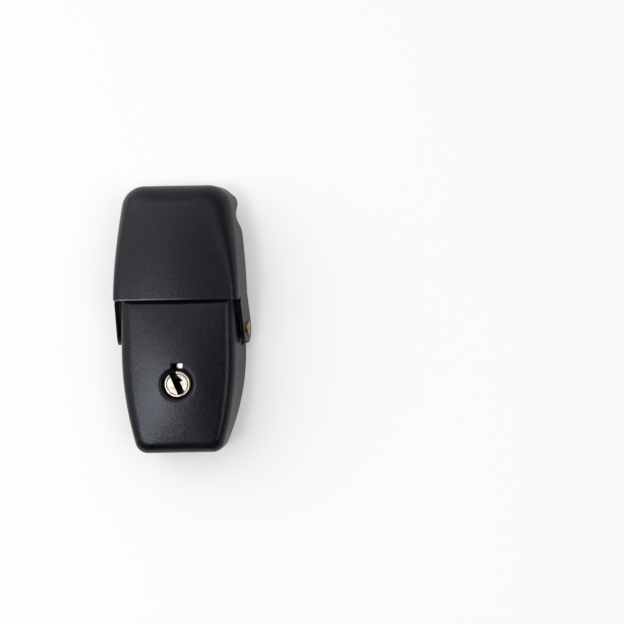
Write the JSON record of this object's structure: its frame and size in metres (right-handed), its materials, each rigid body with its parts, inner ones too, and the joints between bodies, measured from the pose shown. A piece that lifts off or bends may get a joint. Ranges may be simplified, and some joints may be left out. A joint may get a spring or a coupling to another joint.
{
  "type": "case lock",
  "caption": "Key-locked case latch: a tapered lock body with a turning plug and sliding bolt, and a hinged lever cap that hooks a strike plate on the lid.",
  "frame": {"origin": "middle of the lock's box, on the case wall that it lies on", "axes": "+X across the lock, +Y along it towards the lid, +Z out of the case wall"},
  "size_m": [0.0354, 0.07, 0.016],
  "materials": {
    "black_paint": "satin black paint over zinc casting and pressed sheet",
    "brass_pin": "plain drawn brass, riveted",
    "brass_wafer": "stamped brass",
    "nickel_plug": "turned and nickel plated",
    "nickel_housing": "cast and nickel plated",
    "zinc_plate": "stamped steel, zinc plated",
    "plain_steel": "headed steel, zinc plated",
    "spring_steel": "drawn spring steel"
  },
  "bodies": {
    "lock_body": {"body_shell": "black_paint", "base_plate": "zinc_plate", "cylinder_housing": "nickel_housing", "housing_screws": "plain_steel", "hinge_pin": "brass_pin", "friction_washers": "spring_steel", "bolt_keeper": "zinc_plate", "keeper_rivets": "plain_steel", "strike_plate": "zinc_plate"},
    "lever": {"lever_cap": "black_paint", "hook_plate": "zinc_plate"},
    "plug": {"key_plug": "nickel_plug", "wafer_1": "brass_wafer", "wafer_2": "brass_wafer", "wafer_3": "brass_wafer", "wafer_4": "brass_wafer", "wafer_spring_1": "spring_steel", "wafer_spring_2": "spring_steel", "wafer_spring_3": "spring_steel", "wafer_spring_4": "spring_steel", "tail_cam": "nickel_housing", "cam_screw": "plain_steel"},
    "bolt": {"lock_bolt": "zinc_plate"}
  },
  "joints": [
    {"name": "lever_hinge", "type": "hinge", "parent": "lock_body", "child": "lever", "pos_m": [0, -0.0024, 0.0042], "axis": [1, 0, 0], "range_deg": [0, 75]},
    {"name": "key_turn", "type": "hinge", "parent": "lock_body", "child": "plug", "pos_m": [0, -0.0161, 0.008], "axis": [0, 0, 1], "range_deg": [-23, 67]},
    {"name": "bolt_slide", "type": "slide", "parent": "lock_body", "child": "bolt", "axis": [0, 1, 0], "range_m": [-0.00082, 0.00238]}
  ],
  "couplings": [
    {"joint": "key_turn", "follows": "bolt_slide", "rad_per_m": 490.87}
  ]
}
